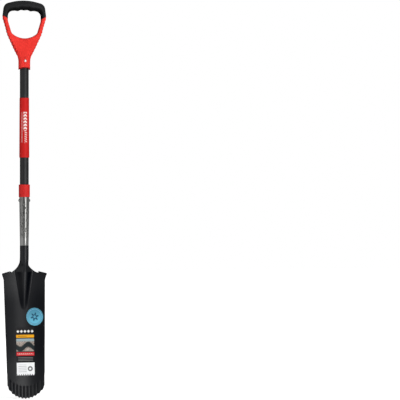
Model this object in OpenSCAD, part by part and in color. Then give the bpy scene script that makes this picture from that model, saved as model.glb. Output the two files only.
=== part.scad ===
// Trenching spade: a long, narrow, dished steel blade with a fluted cutting edge and a rolled
// socket, a riveted tube shaft with a hand sleeve, and a moulded D handle with a soft grip.
// The origin lies under the middle of the grip, where the spade hangs. +Z runs up the shaft,
// +X is to the right and the hollow side of the blade faces -Y. Sizes are in millimetres.

/* [Overall] */
// Height from the tip of the blade to the crown of the grip
overall_l = 1280; // [1220:1:1500]
// Clearance round a piece that slides over or into another
fit = 0.15; // [0.1:0.01:0.25]

/* [Blade] */
// Height from the tip to the top of the blade
blade_l = 406; // [350:1:450]
// Width just below the ears
shoulder_w = 134; // [124:1:140]
// Width where the round tip begins
tip_w = 121; // [104:1:124]
// Height of the round tip
tip_h = 41; // [30:1:50]
// Width over the ears
ear_w = 152; // [142:1:156]
// Height over which the ears flare out
ear_h = 27; // [15:1:40]
// Thickness of the steel sheet
sheet_t = 2; // [1.6:0.1:2.6]
// Depth of the hollow at the shoulders
dish_depth = 13; // [8:0.5:18]
// How far the tip stands forward of the shoulders
lift = 38; // [10:1:50]

/* [Cutting edge] */
// Number of teeth along the tip
tooth_count = 11; // [7:2:13]
// Depth of the scallops between the teeth
scallop = 3.2; // [1:0.1:4]
// Depth of the pressed flutes
flute_depth = 2.4; // [0.5:0.1:3.5]
// Length of the flutes above the edge
flute_l = 42; // [25:1:60]

/* [Frog and neck] */
// Length of the raised frog below the top of the blade
frog_l = 121; // [80:1:160]
// Width of the frog at its lower end
frog_tip_w = 22; // [14:1:30]
// Width of the frog at the top of the blade
frog_w = 62; // [50:1:72]
// Diameter of the rolled neck
neck_d = 28.4; // [27:0.1:30]
// Height of the curved cut from the treads up to the neck
neck_rise = 33; // [25:1:50]
// Length of the bare neck below the socket
neck_l = 53; // [45:1:90]
// Width of the seam at the back of the rolled socket
seam_w = 1.2; // [0.6:0.1:2.5]

/* [Treads] */
// Distance between the two treads
tread_gap = 96; // [90:1:104]
// Depth of the treads, forward from the blade
tread_depth = 18; // [10:1:26]
// Slope of the treads, down towards the ears
tread_slope = 12; // [0:1:14]
// Inner radius of the fold between blade and tread
fold_r = 2.5; // [1.5:0.1:4]
// Relief cut beside the inner end of each tread
relief = 8; // [3:0.5:11]

/* [Socket] */
// Length of the socket above the neck
socket_l = 188; // [170:1:220]
// Thickness of the bright sleeve on the socket
wrap_t = 0.5; // [0.3:0.05:0.8]
// Diameter of the socket rivet
socket_rivet_d = 6; // [4:0.1:8]
// Diameter of the heads of the socket rivet
socket_rivet_head_d = 10; // [8.5:0.1:12]
// Height of the heads of the socket rivet
socket_rivet_head_h = 3; // [2:0.1:4]
// Distance from the collar down to the socket rivet
rivet_gap = 11; // [8:0.5:20]

/* [Collar] */
// Height of the collar
collar_h = 40; // [34:1:60]
// How far the collar covers the socket
collar_lap = 32; // [20:1:33]
// Wall of the collar round the socket
collar_wall = 1.3; // [0.8:0.1:3]
// Radius of the rounded edges of the collar
collar_edge_r = 1.1; // [0.3:0.1:2]

/* [Shaft] */
// Outer diameter of the shaft tube
shaft_d = 28.5; // [27:0.1:30]
// Wall of the shaft tube
shaft_wall = 1.6; // [1:0.1:2.5]
// Length of the shaft inside the socket
shaft_seat = 150; // [110:1:165]

/* [Shaft sleeve] */
// Share of the bare shaft, from the collar to the handle, that the hand sleeve covers
sleeve_cover = 0.52; // [0.3:0.01:0.75]
// Share of the rest of the bare shaft that shows below the hand sleeve
sleeve_place = 0.49; // [0.2:0.01:0.8]
// Wall of the hand sleeve at its upper end
sleeve_wall_top = 0.9; // [0.6:0.05:2]
// Wall of the hand sleeve at its lower end
sleeve_wall_low = 1.75; // [0.6:0.05:3]

/* [D handle] */
// Height of the handle from its ferrule to the crown
handle_h = 223; // [212:1:250]
// Width of the hand opening at the top
opening_w = 109; // [96:1:120]
// Width of the hand opening at its lower corners
opening_low_w = 82; // [76:1:92]
// Height of the hand opening
opening_h = 90; // [80:1:96]
// Width of the arms at the knees below the grip
knee_w = 15.5; // [13:0.5:22]
// Width of the arms at the lower corners of the opening
arm_w = 11.5; // [9:0.5:16]
// Depth of the arms, front to back
arm_depth = 20; // [15:0.5:26]
// Height of the ribs along the outer edges of the arms
rib_h = 1.5; // [0.3:0.1:2]
// Spacing of the ribs, measured along the shaft
rib_pitch = 10.1; // [8:0.1:14]
// Wall of the ferrule round the shaft
ferrule_wall = 4.6; // [3.5:0.1:6]
// Height of the ferrule below the web
ferrule_h = 40; // [30:1:44]
// Height of the arches cut into the lower edge of the ferrule, front and back
ferrule_arch_h = 8; // [2:0.5:9]
// Length of the shaft inside the ferrule
handle_seat = 51; // [36:1:56]
// Diameter of the handle rivet
handle_rivet_d = 5; // [3:0.1:6]
// Diameter of the heads of the handle rivet
handle_rivet_head_d = 8; // [7.5:0.1:10]
// Height of the heads of the handle rivet
handle_rivet_head_h = 1.8; // [1:0.1:3]
// Height of the handle rivet above the lower edge of the ferrule
handle_rivet_h = 28; // [12:1:30]

/* [Grip] */
// Height of the grip from its underside to the crown
crossbar_h = 31.5; // [29:0.5:40]
// Depth of the grip, front to back
grip_depth = 33; // [26:0.5:40]
// Wall of the soft grip round the core of the handle
grip_wall = 3.2; // [2:0.1:4.5]
// Depth of the finger hollows
finger_depth = 2.4; // [1:0.1:4]
// Spacing of the finger hollows
finger_pitch = 21.5; // [18:0.5:24]
// Angle at which the grip ends on the arms
grip_angle = 32; // [22:1:42]

/* [Hidden] */
$fn = 96;

steel_black = [0.14, 0.14, 0.15];
steel_grey = [0.62, 0.62, 0.63];
bright_red = [0.93, 0.22, 0.20];
deep_red = [0.80, 0.16, 0.17];
soft_black = [0.17, 0.17, 0.18];
rivet_silver = [0.82, 0.82, 0.84];

// Overlap of two solids of one piece, and a reach past a surface that is cut
lap = 3;
past = 1;

// Heights above the tip
frog_h = blade_l - frog_l;
neck_h = blade_l + neck_rise;
socket_h = neck_h + neck_l;
mouth_h = socket_h + socket_l;
collar_low_h = mouth_h - collar_lap;
rivet_h = collar_low_h - rivet_gap;
shaft_low_h = mouth_h - shaft_seat;
collar_top_h = collar_low_h + collar_h;
bare_l = overall_l - handle_h - collar_top_h;
sleeve_l = bare_l * sleeve_cover;
sleeve_low_h = collar_top_h + (bare_l - sleeve_l) * sleeve_place;
flute_top_h = tip_h + flute_l;
sheet_top_h = blade_l - fold_r - sheet_t - past;
neck_low_h = blade_l;

// Heights in the frame of the part
tip_z = crossbar_h - overall_l;
ferrule_z = crossbar_h - handle_h;
web_z = ferrule_z + ferrule_h;
shaft_top_z = ferrule_z + handle_seat;
handle_rivet_z = ferrule_z + handle_rivet_h;

// Ferrule of the handle
bore_r = shaft_d / 2 + fit;
ferrule_d = 2 * (bore_r + ferrule_wall);

function lerp(a, b, t) = a + (b - a) * t;
function clamp(t) = max(0, min(1, t));
function smooth(t) = let (u = clamp(t)) u * u * (3 - 2 * u);
function unit(v) = v / norm(v);

// Blade: the front of the sheet as a point [x, y] for a share s of the half width at a height h

// Half width of the flat outline from the tip up to the top of the blade
function side_w(h) = let (
        ear_start = blade_l - ear_h,
        line = lerp(tip_w, shoulder_w, (h - tip_h) / (ear_start - tip_h)) / 2,
        flare = clamp((h - ear_start) / ear_h)
    ) lerp(line, ear_w / 2, flare * sqrt(flare));

// Half width of the curved cut from the treads up to the neck
neck_curve = 2;
neck_start_w = tread_gap / 2 - relief;
function neck_w(h) = let (t = clamp((h - neck_low_h) / (neck_h - neck_low_h)))
    neck_d / 2 + (neck_start_w - neck_d / 2) * pow(1 - t, neck_curve);

// Height of the round cutting edge, with its scallops, at a share s of the half width
tip_r = (tip_w * tip_w / 4 + tip_h * tip_h) / (2 * tip_h);
function tooth_turn(s) = 90 * tooth_count * (s + 1 / tooth_count);
function arc_h(s) = tip_r - sqrt(tip_r * tip_r - pow(s * tip_w / 2, 2));
function edge_h(s) = arc_h(s) + scallop * abs(sin(tooth_turn(s) - 90));

// Pressed flutes that run up from the scallops
function flute(s, h) = let (rise = h - arc_h(s), turn = sin(tooth_turn(s) - 90))
    flute_depth * turn * turn * smooth(3 * (1 - rise / flute_l));

// Bottom of the hollow and crest of the frog
function bottom_y(h) = dish_depth - lift * (1 - h / blade_l);
function crest_y(h) = lerp(bottom_y(frog_h), -neck_d / 2, clamp((h - frog_h) / (neck_h - frog_h)));
function frog_half(h) = lerp(frog_tip_w, frog_w, (h - frog_h) / frog_l) / 2;

// Share of the half width at a column s: the columns gather along the edges of the frog
frog_share = 0.4;
function gathered(s, edge) = let (a = abs(s)) sign(s) * (a < frog_share ? a / frog_share * edge
    : lerp(edge, 1, (a - frog_share) / (1 - frog_share)));
function column_share(s, h) = lerp(s, gathered(s, frog_half(h) / side_w(h)),
    smooth((h - flute_top_h) / (frog_h - flute_top_h)));

// Half width of the frog, which goes over softly into the narrowing neck
frog_blend = 10;
function frog_edge(h) = let (t = clamp(0.5 + (neck_w(h) - frog_half(h)) / (2 * frog_blend)))
    lerp(neck_w(h), frog_half(h), t) - frog_blend * t * (1 - t);

// Dished sheet with its frog
function dish_y(x, h) = let (
        u = clamp(abs(x) / frog_edge(h)),
        rise = h > frog_h ? bottom_y(h) - crest_y(h) : 0
    ) bottom_y(h) - dish_depth * pow(2 * x / shoulder_w, 2) - rise * (1 + cos(180 * u)) / 2;

// The sheet rolls up from an open arch at the treads into a closed neck
frog_most = 0.72;
open_turn = 60;
closed_turn = 180 - seam_w / neck_d * 180 / PI;
roll_start = blade_l + neck_rise * 0.1;
roll_span = neck_rise * 0.8;
roll_end = neck_h + neck_l * 0.55;
function roll_turn(h) = lerp(open_turn, closed_turn, smooth((h - roll_start) / (roll_end - roll_start)));
function rolled(s, h) = let (
        full = roll_turn(h),
        turn = abs(s) * full,
        share = smooth((h - roll_start) / roll_span),
        flat_x = neck_w(h) * gathered(s, min(frog_edge(h) / neck_w(h), frog_most)),
        arch_x = neck_w(h) * sign(s) * sin(turn) / sin(min(full, 90)),
        x = lerp(flat_x, arch_x, share),
        edge_y = lerp(dish_y(neck_w(h), h), neck_d / 2, share),
        arch_y = lerp(crest_y(h), edge_y, (1 - cos(turn)) / (1 - cos(full)))
    ) [x, lerp(dish_y(x, h), arch_y, share)];

function sheet_xy(s, h) = h > sheet_top_h ? rolled(s, h)
    : let (x = column_share(s, h) * side_w(h)) [x, dish_y(x, h) + flute(s, h)];

// The top of the sheet drops under the slope of the treads
function ear_top_h(s) = sheet_top_h
    - max(0, abs(column_share(s, sheet_top_h)) * ear_w / 2 - tread_gap / 2) * tan(tread_slope);

// Rows of [share, height] pairs from the cutting edge up to the neck
column_count = 4 * tooth_count;
shares = [for (k = [0 : column_count]) 2 * k / column_count - 1];
tip_rows = [for (v = [0, 0.3, 0.6, 0.72, 0.84, 1])
    [for (s = shares) [s, lerp(edge_h(s), arc_h(s) + flute_l, v)]]];
frog_low_h = flute_top_h + 12;
blade_steps = concat([frog_low_h, (frog_low_h + frog_h) / 2],
    [for (v = [0 : 0.125 : 0.99]) lerp(frog_h, blade_l - ear_h, v)]);
ear_rows = [for (v = [0 : 0.2 : 1]) [for (s = shares) [s, lerp(blade_l - ear_h, ear_top_h(s), v)]]];
neck_shares = [0, 0.08, 0.16, 0.25, 0.35, 0.46, 0.6, 0.8, 1];
close_shares = [0.14, 0.28, 0.42, 0.56, 1];
neck_steps = concat([for (v = neck_shares) lerp(neck_low_h, neck_h, v)],
    [for (v = close_shares) neck_h + neck_l * v]);
sheet_rows = concat(tip_rows, [for (h = blade_steps) [for (s = shares) [s, h]]], ear_rows,
    [for (h = neck_steps) [for (s = shares) [s, h]]]);

function sheet_point(s, h) = let (p = sheet_xy(s, h)) [p[0], p[1], tip_z + h];
function back_point(s, h) = let (
        step = 0.002,
        along = unit(sheet_xy(s + step, h) - sheet_xy(s - step, h))
    ) sheet_point(s, h) + sheet_t * [-along[1], along[0], 0];

// Closed solid between two grids of points with the same rows and columns. The diagonals turn
// about at each tooth and each scallop, so that both flanks of a flute are alike
function quad(a, b, c, d) = [[a, b, c], [a, c, d]];
function grid_quad(k, a, b, c, d) = k % 4 < 2 ? quad(a, b, c, d) : quad(b, c, d, a);
module plate(front, back) {
    rows = len(front);
    columns = len(front[0]);
    all_points = concat([for (row = front) each row], [for (row = back) each row]);
    f = [for (i = [0 : rows - 1]) [for (k = [0 : columns - 1]) i * columns + k]];
    b = [for (i = [0 : rows - 1]) [for (k = [0 : columns - 1]) (rows + i) * columns + k]];
    n = rows - 1;
    m = columns - 1;
    polyhedron(all_points, concat(
        [for (i = [0 : n - 1], k = [0 : m - 1])
            each grid_quad(k, f[i][k], f[i + 1][k], f[i + 1][k + 1], f[i][k + 1])],
        [for (i = [0 : n - 1], k = [0 : m - 1])
            each grid_quad(k, b[i][k], b[i][k + 1], b[i + 1][k + 1], b[i + 1][k])],
        [for (k = [0 : m - 1]) each quad(f[0][k], f[0][k + 1], b[0][k + 1], b[0][k])],
        [for (k = [0 : m - 1]) each quad(b[n][k], b[n][k + 1], f[n][k + 1], f[n][k])],
        [for (i = [0 : n - 1]) each quad(f[i][0], b[i][0], b[i + 1][0], f[i + 1][0])],
        [for (i = [0 : n - 1]) each quad(f[i][m], f[i + 1][m], b[i + 1][m], b[i][m])]));
}

module blade_sheet() {
    plate([for (row = sheet_rows) [for (p = row) sheet_point(p[0], p[1])]],
          [for (row = sheet_rows) [for (p = row) back_point(p[0], p[1])]]);
}

// Tread: the top of the sheet folded forward, as a profile along the fold
tread_mid_x = (ear_w + tread_gap) / 4;
tread_turn = atan(-8 * dish_depth * tread_mid_x / (shoulder_w * shoulder_w));
tread_l = (ear_w - tread_gap) / 2 / cos(tread_turn);
tread_proud = 0.3;
tread_lap = 5;
module tread_profile() {
    outer_r = fold_r + sheet_t + 2 * tread_proud;
    difference() {
        union() {
            translate([-outer_r, -outer_r]) circle(outer_r);
            translate([-tread_depth, -sheet_t]) square([tread_depth - outer_r, sheet_t]);
            translate([-sheet_t - 2 * tread_proud, -outer_r - tread_lap])
                square([sheet_t + 2 * tread_proud, tread_lap + past]);
        }
        translate([-outer_r, -outer_r]) circle(fold_r);
        translate([-2 * outer_r - tread_depth, -2 * outer_r - tread_lap])
            square([outer_r + tread_depth, 2 * outer_r + tread_lap - sheet_t]);
        translate([-2 * outer_r, -2 * outer_r - tread_lap])
            square([2 * outer_r - sheet_t - 2 * tread_proud, outer_r + tread_lap]);
    }
}

module tread() {
    translate([tread_mid_x, dish_y(tread_mid_x, blade_l) + sheet_t + tread_proud, tip_z + blade_l])
        rotate([0, tread_slope, tread_turn]) translate([-tread_l / 2, 0, 0])
            rotate([90, 0, 90]) linear_extrude(tread_l) tread_profile();
}

// Socket: a cone with a bore for the tapered end of the shaft and a seam down the back
socket_low_d = neck_d - 2 * (wrap_t + fit);
mouth_d = shaft_d + 2 * (fit + sheet_t);
function socket_d(h) = lerp(socket_low_d, mouth_d, (h - socket_h) / socket_l);
function bore_d(h) = socket_d(h) - 2 * sheet_t;
function wrap_d(h) = socket_d(h) + 2 * (fit + wrap_t);

module cone(h1, h2, d1, d2) {
    translate([0, 0, tip_z + h1]) cylinder(d1 = d1, d2 = d2, h = h2 - h1);
}

module rivet_hole() {
    translate([0, 0, tip_z + rivet_h]) rotate([0, 90, 0])
        cylinder(d = socket_rivet_d + 2 * fit, h = 2 * mouth_d, center = true);
}

module socket() {
    low = socket_h - lap;
    difference() {
        cone(low, mouth_h, socket_d(low), mouth_d);
        cone(low - past, mouth_h + past, bore_d(low - past), bore_d(mouth_h + past));
        translate([-seam_w / 2, 0, tip_z + low - past])
            cube([seam_w, mouth_d, socket_l + lap + 2 * past]);
        rivet_hole();
    }
}

module blade() {
    color(steel_black) {
        blade_sheet();
        tread();
        mirror([1, 0, 0]) tread();
        socket();
    }
}

// Bright sleeve that dresses the socket from the neck up to the collar
module socket_wrap() {
    color(steel_grey) difference() {
        cone(socket_h, collar_low_h, wrap_d(socket_h), wrap_d(collar_low_h));
        cone(socket_h - past, collar_low_h + past,
            socket_d(socket_h - past) + 2 * fit, socket_d(collar_low_h + past) + 2 * fit);
        rivet_hole();
    }
}

// Domed head of a rivet, with its flat side down
module rivet_head(d, h) {
    dome_r = (d * d / 4 + h * h) / (2 * h);
    intersection() {
        translate([0, 0, h - dome_r]) sphere(dome_r);
        cylinder(d = d + past, h = h + past);
    }
}

module rivet(shank_d, grip_l, head_d, head_h) {
    cylinder(d = shank_d, h = grip_l, center = true);
    for (side = [0, 180]) rotate([0, side, 0]) translate([0, 0, grip_l / 2]) rivet_head(head_d, head_h);
}

module socket_rivet() {
    grip_l = wrap_d(rivet_h + socket_rivet_head_d / 2) + 2 * fit;
    color(rivet_silver) translate([0, 0, tip_z + rivet_h]) rotate([0, 90, 0])
        rivet(socket_rivet_d, grip_l, socket_rivet_head_d, socket_rivet_head_h);
}

// Collar: covers the mouth of the socket and closes on the shaft
module collar() {
    low_r = socket_d(collar_low_h) / 2 + fit;
    mouth_r = mouth_d / 2 + fit;
    outer_r = mouth_r + collar_wall;
    shaft_r = shaft_d / 2 + fit;
    edge = collar_edge_r;
    color(deep_red) translate([0, 0, tip_z + collar_low_h]) rotate_extrude() difference() {
        union() {
            translate([low_r, edge]) square([outer_r - low_r, collar_h - 2 * edge]);
            translate([low_r, 0]) square([outer_r - edge - low_r, past + edge]);
            translate([outer_r - edge, edge]) circle(edge);
            translate([shaft_r, collar_lap + fit])
                square([outer_r - edge - shaft_r, collar_h - collar_lap - fit]);
            translate([outer_r - edge, collar_h - edge]) circle(edge);
        }
        polygon([[0, -past], [low_r, -past], [low_r, 0], [mouth_r, collar_lap],
            [mouth_r, collar_lap + fit], [shaft_r, collar_lap + fit], [shaft_r, collar_h + past],
            [0, collar_h + past]]);
    }
}

// Shaft: a tube whose lower end is drawn down to the cone of the socket
module shaft() {
    low_r = bore_d(shaft_low_h) / 2 - fit;
    mouth_r = shaft_d / 2;
    color(soft_black) difference() {
        rotate_extrude() polygon([
            [low_r - shaft_wall, tip_z + shaft_low_h], [low_r, tip_z + shaft_low_h],
            [mouth_r, tip_z + mouth_h], [mouth_r, shaft_top_z],
            [mouth_r - shaft_wall, shaft_top_z], [mouth_r - shaft_wall, tip_z + mouth_h]]);
        rivet_hole();
        handle_rivet_hole();
    }
}

// Hand sleeve: a tapered tube with softly rounded ends
module shaft_sleeve() {
    inner_r = shaft_d / 2 + fit;
    top_end_r = sleeve_wall_top / 2;
    low_end_r = sleeve_wall_low / 2;
    color(deep_red) translate([0, 0, tip_z + sleeve_low_h]) rotate_extrude() union() {
        polygon([[inner_r, low_end_r], [inner_r + sleeve_wall_low, low_end_r],
            [inner_r + sleeve_wall_top, sleeve_l - top_end_r], [inner_r, sleeve_l - top_end_r]]);
        translate([inner_r + low_end_r, low_end_r]) circle(low_end_r);
        translate([inner_r + top_end_r, sleeve_l - top_end_r]) circle(top_end_r);
    }
}

// D handle: outlines of the opening and of the outer edge, as corners [x, z, radius], right half
crown_r = 165;
crown_slope = 15;
crown_corner_r = 20;
crown_z = crossbar_h + crown_r * (1 / cos(crown_slope) - 1);
crown_corner_x = opening_w / 2 + knee_w - 4.5;
knee_z = -21;
knee_r = 30;
arm_r = 120;
arm_z = -opening_h + 10.5;
web_fillet_r = 70;
web_fillet_z = web_z - 1.5;
web_low_z = web_z - 25;
web_low_r = 8;
web_inset = 0.1;
floor_r = 62;
floor_sag = 12;
corner_z = -opening_h + 15.5;
low_corner_r = 14;
side_r = 30;
side_z = -0.38 * opening_h;
top_corner_r = 18;
top_corner_z = -4.5;
opening_corners = [
    [0, -opening_h - floor_sag, floor_r],
    [opening_low_w / 2 + 1, corner_z, low_corner_r],
    [opening_w / 2, side_z, side_r],
    [opening_w / 2, top_corner_z, top_corner_r],
    [0, finger_depth, 0]];
outer_corners = [
    [0, web_low_z, 0],
    [ferrule_d / 2 - web_inset, web_low_z, web_low_r],
    [ferrule_d / 2 - web_inset, web_fillet_z, web_fillet_r],
    [opening_low_w / 2 + 1 + arm_w, arm_z, arm_r],
    [opening_w / 2 + knee_w + 1, knee_z, knee_r],
    [crown_corner_x, crown_z - crown_corner_x * tan(crown_slope), crown_corner_r],
    [0, crown_z, crown_r]];

arc_steps = 12;
tiny = 0.001;
function mirrored(p) = [-p[0], p[1], p[2]];
function flat(p) = [p[0], p[1]];
function corner_arc(before, at, after, n) = let (
        u = unit(flat(before) - flat(at)),
        v = unit(flat(after) - flat(at)),
        half = acos(u * v) / 2,
        sweep = 180 - 2 * half,
        centre = flat(at) + unit(u + v) * at[2] / sin(half),
        from = flat(at) + u * at[2] / tan(half) - centre,
        to = flat(at) + v * at[2] / tan(half) - centre
    ) at[2] == 0 ? [flat(at)]
    : [for (i = [0 : n]) let (t = sweep * i / n)
        centre + (from * sin(sweep - t) + to * sin(t)) / sin(sweep)];

// Points along the right half of an outline, from the bottom to the top
function half_outline(corners) = let (last = len(corners) - 1)
    [for (i = [0 : last]) let (
            before = i == 0 ? mirrored(corners[1]) : corners[i - 1],
            after = i == last ? mirrored(corners[last - 1]) : corners[i + 1])
        each [for (p = corner_arc(before, corners[i], after, arc_steps)) if (p[0] > -tiny) p]];

// Straight stretches are split, so that a table of radius by angle follows them
function split(points, step) = [for (i = [0 : len(points) - 2])
    let (n = max(1, ceil(norm(points[i + 1] - points[i]) / step)))
        each [for (k = [0 : n - 1]) lerp(points[i], points[i + 1], k / n)], points[len(points) - 1]];

ring_z = -0.7 * opening_h;
function ring_angle(p) = atan2(p[1] - ring_z, p[0]);
function ring_reach(p) = norm(p - [0, ring_z]);
outline_step = 2;
opening_points = split(half_outline(opening_corners), outline_step);
outer_points = split(half_outline(outer_corners), outline_step);
opening_table = [for (p = opening_points) [ring_angle(p), ring_reach(p)]];
outer_table = [for (p = outer_points) [ring_angle(p), ring_reach(p)]];

// The ribs stand on the arms between the web and the grip
rib_top_z = knee_z - 5;
rib_low_z = web_z + lap + past;
rib_count = floor((rib_top_z - rib_low_z) / rib_pitch);
arm_table = [for (p = outer_points) if (ring_angle(p) < grip_angle) [p[1], ring_angle(p)]];
rib_steps = [for (i = [0 : 4 * rib_count]) let (z = rib_top_z - (i / 4) * rib_pitch)
    [lookup(z, arm_table), i % 4 == 1 || i % 4 == 2 ? rib_h : 0]];

// Stations [angle, rib height, inside the grip] round the right half of the ring
grip_steps = 22;
core_angles = [for (i = [0 : grip_steps]) lerp(grip_angle, 90, i / grip_steps)];
rib_low_angle = rib_steps[4 * rib_count][0];
half_stations = concat(
    [for (v = [0 : 0.125 : 0.99]) [lerp(-90, rib_low_angle, v), 0, false]],
    [for (i = [4 * rib_count : -1 : 0]) [rib_steps[i][0], rib_steps[i][1], false]],
    [[lerp(rib_steps[0][0], grip_angle, 0.5), 0, false], [grip_angle, 0, false]],
    [for (a = core_angles) [a, 0, true]]);

// Section of the ring at an angle: a rounded rectangle on the arms, an oval on the grip
section_count = 16;
arm_roundness = 3.2;
grip_roundness = 2.5;
function ring_depth(a) = lerp(arm_depth, grip_depth, smooth((a - 10) / 50));
function roundness(a) = lerp(arm_roundness, grip_roundness, smooth((a - 20) / 40));
function rounded(v, power) = sign(v) * pow(abs(v), 2 / power);
function finger(a, x) = a < grip_angle || abs(x) > 1.5 * finger_pitch ? 0
    : finger_depth * pow(cos(180 * x / finger_pitch), 2);

// The web grows flatter and wider from the round ferrule up to the opening
web_table = [for (p = outer_points) [p[1], p[0]]];
function web_rise(z) = smooth((z - web_z) / (-opening_h - web_z));
function web_depth(z) = lerp(ferrule_d - past, arm_depth, web_rise(z));
web_roundness = 12;
function web_edge(x, z, rib) = let (power = lerp(2, web_roundness, web_rise(z)))
    pow(1 - pow(clamp(x / (lookup(z, web_table) + rib)), power), 1 / power);

// A point of the section, with its side in x, its rib, an inset from the surface and its fingers
function ring_point(a, side, rib, inset, fingers, j) = let (
        ray = [cos(a), sin(a)],
        inner_reach = lookup(a, opening_table),
        dip = fingers ? finger(a, inner_reach * ray[0]) : 0,
        near = inner_reach - dip + inset,
        far = lookup(a, outer_table) + rib - inset,
        turn = 360 * j / section_count,
        c = rounded(cos(turn), roundness(a)),
        d = rounded(sin(turn), roundness(a)),
        reach = (near + far) / 2 + c * (far - near) / 2,
        x = reach * ray[0],
        z = ring_z + reach * ray[1],
        edge_d = a < 0 && c > 0 ? sign(d) * web_edge(x + tiny, z, rib) : d,
        depth = (a < 0 ? web_depth(z) : ring_depth(a)) / 2 - inset
    ) [side * x, edge_d * depth, z];

function section(a, side, rib, inset, fingers) =
    [for (j = [0 : section_count - 1]) ring_point(a, side, rib, inset, fingers, j)];

// Tube of triangles through a list of sections that closes on itself
module ring(sections) {
    n = len(sections);
    m = section_count;
    function at(i, j) = (i % n) * m + j % m;
    polyhedron([for (s = sections) each s],
        [for (i = [0 : n - 1], j = [0 : m - 1])
            each quad(at(i, j), at(i + 1, j), at(i + 1, j + 1), at(i, j + 1))]);
}

core_inset = grip_wall + fit;
function yoke_section(s, side) = section(s[0], side, s[1], s[2] ? core_inset : 0, false);

module handle_rivet_hole() {
    translate([0, 0, handle_rivet_z]) rotate([90, 0, 0])
        cylinder(d = handle_rivet_d + 2 * fit, h = 2 * ferrule_d, center = true);
}

module yoke_ring() {
    last = len(half_stations) - 1;
    ring(concat([for (i = [0 : last]) yoke_section(half_stations[i], 1)],
        [for (i = [last - 1 : -1 : 1]) yoke_section(half_stations[i], -1)]));
}

// Round ferrule below the web, with an arch cut through its lower edge
module ferrule() {
    translate([0, 0, ferrule_z]) cylinder(d = ferrule_d, h = ferrule_h + lap);
}

module ferrule_arch() {
    arch_r = (ferrule_d * ferrule_d / 4 + ferrule_arch_h * ferrule_arch_h) / (2 * ferrule_arch_h);
    translate([0, 0, ferrule_z + ferrule_arch_h - arch_r]) rotate([90, 0, 0])
        cylinder(r = arch_r, h = 2 * ferrule_d, center = true);
}

module handle_yoke() {
    color(bright_red) difference() {
        union() {
            yoke_ring();
            ferrule();
        }
        translate([0, 0, ferrule_z - past]) cylinder(r = bore_r, h = handle_seat + past);
        ferrule_arch();
        handle_rivet_hole();
    }
}

// Soft grip moulded over the core of the handle, open at both arms
module handle_grip() {
    angles = concat([for (a = core_angles) [a, 1]],
        [for (i = [len(core_angles) - 2 : -1 : 0]) [core_angles[i], -1]]);
    outer = [for (a = angles) section(a[0], a[1], 0, 0, true)];
    inner = [for (a = angles) section(a[0], a[1], 0, grip_wall, false)];
    n = len(angles);
    m = section_count;
    function at(i, j) = i * m + j % m;
    function in(i, j) = n * m + at(i, j);
    color(soft_black) polyhedron(concat([for (s = outer) each s], [for (s = inner) each s]), concat(
        [for (i = [0 : n - 2], j = [0 : m - 1])
            each quad(at(i, j), at(i + 1, j), at(i + 1, j + 1), at(i, j + 1))],
        [for (i = [0 : n - 2], j = [0 : m - 1])
            each quad(in(i, j), in(i, j + 1), in(i + 1, j + 1), in(i + 1, j))],
        [for (j = [0 : m - 1]) each quad(at(0, j), at(0, j + 1), in(0, j + 1), in(0, j))],
        [for (j = [0 : m - 1])
            each quad(at(n - 1, j), in(n - 1, j), in(n - 1, j + 1), at(n - 1, j + 1))]));
}

module handle_rivet() {
    color(rivet_silver) translate([0, 0, handle_rivet_z]) rotate([90, 0, 0])
        rivet(handle_rivet_d, ferrule_d + 2 * fit, handle_rivet_head_d, handle_rivet_head_h);
}

blade();
socket_wrap();
socket_rivet();
collar();
shaft();
shaft_sleeve();
handle_yoke();
handle_grip();
handle_rivet();
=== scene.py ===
import math

import bmesh
import bpy
import numpy as np
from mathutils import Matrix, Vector


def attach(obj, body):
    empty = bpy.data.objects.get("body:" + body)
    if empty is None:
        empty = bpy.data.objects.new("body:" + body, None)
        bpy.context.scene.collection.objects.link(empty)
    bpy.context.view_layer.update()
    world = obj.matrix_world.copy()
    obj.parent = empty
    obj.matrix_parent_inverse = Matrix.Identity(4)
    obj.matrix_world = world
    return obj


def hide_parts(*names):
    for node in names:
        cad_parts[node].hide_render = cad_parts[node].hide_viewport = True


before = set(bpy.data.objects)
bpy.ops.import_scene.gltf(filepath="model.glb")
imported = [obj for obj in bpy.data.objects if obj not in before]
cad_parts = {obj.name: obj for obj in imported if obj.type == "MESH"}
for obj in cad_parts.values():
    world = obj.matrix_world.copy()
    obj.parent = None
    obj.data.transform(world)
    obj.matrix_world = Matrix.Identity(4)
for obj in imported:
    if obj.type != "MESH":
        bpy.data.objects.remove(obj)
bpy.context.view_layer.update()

# Sizes in millimetres, as in the part's source, apart from a lower arch under the ferrule

MM = 0.001
OVERALL_L = 1280
FIT = 0.15

# Blade
BLADE_L = 406
SHOULDER_W = 134
TIP_W = 121
TIP_H = 41
EAR_W = 152
EAR_H = 27
SHEET_T = 2
DISH_DEPTH = 13
LIFT = 38
TOOTH_COUNT = 11
SCALLOP = 3.2
FLUTE_DEPTH = 2.4
FLUTE_L = 42
FROG_L = 121
FROG_TIP_W = 22
FROG_W = 62
NECK_D = 28.4
NECK_RISE = 33
NECK_L = 53
SEAM_W = 1.2
TREAD_GAP = 96
TREAD_DEPTH = 18
TREAD_SLOPE = math.radians(12)
FOLD_R = 2.5
RELIEF = 8

# Socket with its sleeve and rivet
SOCKET_L = 188
WRAP_T = 0.5
RIVET_GAP = 11
SOCKET_RIVET_D = 6
SOCKET_RIVET_HEAD_D = 10
SOCKET_RIVET_HEAD_H = 3

# Collar
COLLAR_H = 40
COLLAR_LAP = 32
COLLAR_WALL = 1.3
COLLAR_EDGE_R = 1.1

# Shaft and hand sleeve
SHAFT_D = 28.5
SHAFT_WALL = 1.6
SHAFT_SEAT = 150
SLEEVE_COVER = 0.52
SLEEVE_PLACE = 0.49
SLEEVE_WALL_TOP = 0.9
SLEEVE_WALL_LOW = 1.75

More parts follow.
